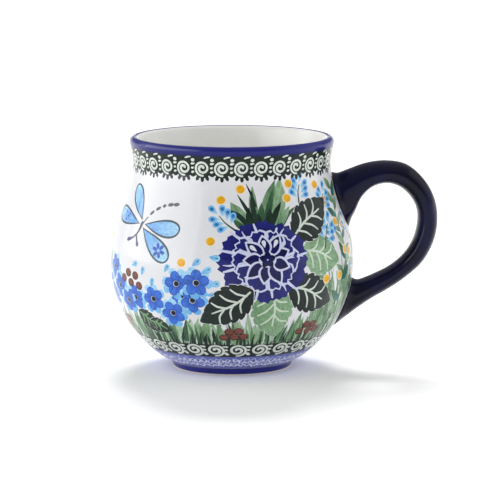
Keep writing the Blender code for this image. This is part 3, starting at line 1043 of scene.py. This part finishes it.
def build_foot_ring(glaze, clay):
    """The banded ring under the cup, glazed outside and bare where it stands."""
    outer, inner, top = FOOT_RADIUS, FOOT_RADIUS - FOOT_WIDTH, FOOT_HEIGHT
    profile = [(outer + 0.8, top + 0.3), (outer + 0.35, top - 0.25), (outer, 1.3), (outer - 0.15, 0.75),
               (outer - 0.45, 0.35), (outer - 0.9, 0.1), (outer - 1.5, 0.0), (inner + 1.6, 0.0),
               (inner + 0.8, 0.2), (inner + 0.35, 0.6), (inner + 0.1, 1.2), (inner, top + 0.2)]
    bare_from, bare_to = 4, 8
    steps = 160
    turns = np.linspace(0, math.tau, steps, endpoint=False)
    points = [(AXIS_X + radius * math.cos(t), radius * math.sin(t), height)
              for radius, height in profile for t in turns]
    mesh = make_mesh("foot_band", points, faces_between(len(profile), steps, closed=True))
    add_piece("foot_band", mesh, "foot_ring", "foot_glaze", glaze, clay)
    bare = [bare_from <= k < bare_to for k in range(len(profile)) for _ in range(steps)]
    mesh.polygons.foreach_set("material_index", np.array(bare, np.int32))


# ---------------- materials

class Nodes:
    """The node tree of a new material or world, with one call for each node."""

    def __init__(self, owner, shader="Principled BSDF"):
        owner.use_nodes = True
        self.owner = owner
        self.tree = owner.node_tree
        self.shader = self.tree.nodes[shader]

    def add(self, kind, inputs=None, **settings):
        """A node with its inputs, each a number or another node's output, and its own settings."""
        node = self.tree.nodes.new("ShaderNode" + kind)
        for key, value in settings.items():
            setattr(node, key, value)
        for key, value in (inputs or {}).items():
            self.put(node.inputs[key], value)
        return node

    def put(self, socket, value):
        if isinstance(value, bpy.types.NodeSocket):
            self.tree.links.new(value, socket)
        else:
            socket.default_value = value

    def dress(self, sockets):
        """Sets the shader's sockets, and gives back what the tree belongs to."""
        for name, value in sockets.items():
            self.put(self.shader.inputs[name], value)
        return self.owner

    def math(self, operation, first, second):
        return self.add("Math", {0: first, 1: second}, operation=operation).outputs[0]

    def noise(self, vector, scale, detail):
        """A noise with so many waves to each unit of the vector."""
        inputs = {"Vector": vector, "Scale": scale, "Detail": detail}
        return self.add("TexNoise", inputs).outputs["Fac"]

    def spread(self, value, low, high, from_low=0.3, from_high=0.7):
        """Maps a noise's usual range to another one."""
        inputs = {"Value": value, "From Min": from_low, "From Max": from_high, "To Min": low, "To Max": high}
        return self.add("MapRange", inputs).outputs["Result"]

    def brighten(self, colour, factor):
        """The colour times a number."""
        scaled = self.add("VectorMath", {0: colour, "Scale": factor}, operation="SCALE")
        return scaled.outputs["Vector"]

    def place(self):
        return self.add("TexCoord").outputs["Object"]

    def ripple(self, heights):
        """Bumps from (height, depth in metres) pairs, one on top of the other."""
        normal = None
        for height, depth in heights:
            inputs = {"Height": height, "Distance": depth, "Strength": 1.0}
            bump = self.add("Bump", inputs)
            if normal:
                self.put(bump.inputs["Normal"], normal)
            normal = bump.outputs["Normal"]
        return normal

    def glaze(self, colour, roughness, coat, coat_roughness):
        """A clear glossy glaze over colour, with the soft unevenness of a fired surface."""
        place = self.place()
        pool = self.noise(place, 130, 1)
        peel = self.noise(place, 600, 2)
        normal = self.ripple([(pool, POOL_DEPTH), (peel, PEEL_DEPTH)])
        return self.dress({"Base Color": colour, "Roughness": roughness, "Coat Weight": coat,
                           "Coat Roughness": coat_roughness, "Coat IOR": COAT_IOR,
                           "Specular IOR Level": GLOSS_UNDER_COAT, "Coat Normal": normal})


def painted_glaze():
    n = Nodes(bpy.data.materials.new("painted_glaze"))
    paint = n.add("Attribute", attribute_name="paint").outputs["Color"]
    brush = n.add("Attribute", attribute_name="brush").outputs["Vector"]
    parts = n.add("SeparateXYZ", {0: brush}).outputs
    stretched = n.add("CombineXYZ", {0: n.math("MULTIPLY", parts[0], 0.16), 1: parts[1]}).outputs[0]
    streak = n.spread(n.noise(stretched, 1.5, 3), -0.34, 0.30)
    place = n.place()
    pigment = n.spread(n.noise(place, 700, 3), -0.16, 0.14)
    both = n.math("MULTIPLY", n.math("ADD", streak, pigment), parts[2])
    grain = n.spread(n.noise(place, 3500, 1), -0.02, 0.02)
    stain = n.spread(n.noise(place, 60, 2), -0.012, 0.012)
    change = n.math("ADD", n.math("ADD", both, 1.0), n.math("ADD", grain, stain))
    roughness = n.spread(n.noise(place, 300, 2), 0.32, 0.46)
    return n.glaze(n.brighten(paint, change), roughness, coat=0.75, coat_roughness=0.03)


def cobalt_glaze(name, dark, light, lightness):
    """A deep blue glaze that is darker where it has pooled."""
    n = Nodes(bpy.data.materials.new(name))
    place = n.place()
    pooled = n.spread(n.noise(place, 90, 3), 0.0, lightness)
    fine = n.spread(n.noise(place, 1200, 2), -0.06, 0.06)
    mix = n.add("Mix", {"Factor": n.math("ADD", pooled, fine)}, data_type="RGBA")
    n.put(mix.inputs["A"], (*dark, 1))
    n.put(mix.inputs["B"], (*light, 1))
    colour = next(o for o in mix.outputs if o.type == "RGBA")
    return n.glaze(colour, n.spread(n.noise(place, 300, 2), 0.3, 0.42), coat=0.5, coat_roughness=0.02)


def bare_clay():
    n = Nodes(bpy.data.materials.new("bare_clay"))
    place = n.place()
    speck = n.spread(n.noise(place, 2600, 2), 0.0, 1.0, 0.60, 0.72)
    cloud = n.spread(n.noise(place, 150, 3), 0.9, 1.06)
    tone = n.math("SUBTRACT", cloud, n.math("MULTIPLY", speck, 0.35))
    clay = n.add("RGB").outputs[0]
    clay.default_value = (*CLAY, 1)
    return n.dress({"Base Color": n.brighten(clay, tone),
                    "Roughness": n.spread(n.noise(place, 500, 2), 0.78, 0.92),
                    "Normal": n.ripple([(n.noise(place, 1800, 4), POOL_DEPTH)])})


# ---------------- camera, lights and floor

def add_camera():
    data = bpy.data.cameras.new("camera")
    data.lens = LENS
    data.sensor_width = SENSOR
    data.clip_start, data.clip_end = 0.05, 20
    camera = bpy.data.objects.new("camera", data)
    camera.location = Vector((AXIS_X, -CAMERA_DISTANCE, CAMERA_HEIGHT)) * MM
    aim = Vector((AXIS_X + CAMERA_AIM[0], 0, CAMERA_AIM[1])) * MM
    camera.rotation_euler = (aim - camera.location).to_track_quat("-Z", "Y").to_euler()
    bpy.context.scene.collection.objects.link(camera)
    bpy.context.scene.camera = camera


def add_world():
    """A dim room, brighter overhead, whose walls are white behind the floor's far edge."""
    n = Nodes(bpy.data.worlds.new("studio"), "Background")
    way = n.add("TexCoord").outputs["Generated"]
    rise = n.add("SeparateXYZ", {0: way}).outputs["Z"]
    room = n.spread(rise, ROOM_SIDES, ROOM_CEILING, 0, 1)
    walls = n.spread(rise, 1, 0, *HORIZON_BAND)
    bpy.context.scene.world = n.dress({"Color": (1, 1, 1, 1), "Strength": n.math("ADD", room, walls)})


def add_light(name, kind, energy, place, aim):
    data = bpy.data.lights.new(name, kind)
    data.energy = energy
    light = bpy.data.objects.new(name, data)
    light.location = place
    light.rotation_euler = (Vector(aim) - Vector(place)).to_track_quat("-Z", "Y").to_euler()
    bpy.context.scene.collection.objects.link(light)
    return light


def add_lights():
    sun = add_light("overhead", "SUN", SUN_STRENGTH, SUN_PLACE, (0, 0, 0))
    sun.data.angle = math.radians(SUN_SOFTNESS)
    sun.visible_glossy = False
    for name, place, size, power, only_mirrored in SOFTBOXES:
        softbox = add_light(name, "AREA", power, place, MUG_MIDDLE)
        softbox.data.shape = "RECTANGLE"
        softbox.data.size, softbox.data.size_y = size
        softbox.visible_diffuse = not only_mirrored


def add_floor():
    corners = [(x * FLOOR_REACH, y * FLOOR_REACH, 0) for x, y in ((-1, -1), (1, -1), (1, 1), (-1, 1))]
    floor = bpy.data.objects.new("floor", make_mesh("floor", corners, [(0, 1, 2, 3)]))
    n = Nodes(bpy.data.materials.new("floor_white"))
    white = n.dress({"Base Color": (0.9, 0.9, 0.9, 1), "Roughness": 0.9, "Specular IOR Level": 0.1,
                     "Emission Color": (1, 1, 1, 1), "Emission Strength": FLOOR_GLOW})
    floor.data.materials.append(white)
    bpy.context.scene.collection.objects.link(floor)


def main():
    add_camera()
    add_world()
    add_lights()
    add_floor()
    bpy.context.scene.view_settings.view_transform = "Standard"
    build_body(painted_glaze())
    cobalt = cobalt_glaze("cobalt_glaze", COBALT_BLACK, COBALT, 0.28)
    places = np.linspace(0, 1, HANDLE_STATIONS + 1)
    build_handle(places[HANDLE_TRIM:-HANDLE_TRIM], cobalt)
    build_slip_joint("upper_slip", "upper_slip_joint", places[SLIP_TRIM:SLIP_STATIONS], cobalt)
    build_slip_joint("lower_slip", "lower_slip_joint", places[-SLIP_STATIONS:-SLIP_TRIM], cobalt)
    foot_glaze = cobalt_glaze("foot_glaze", COBALT_LIGHT, COBALT, 0.4)
    build_foot_ring(foot_glaze, bare_clay())


main()
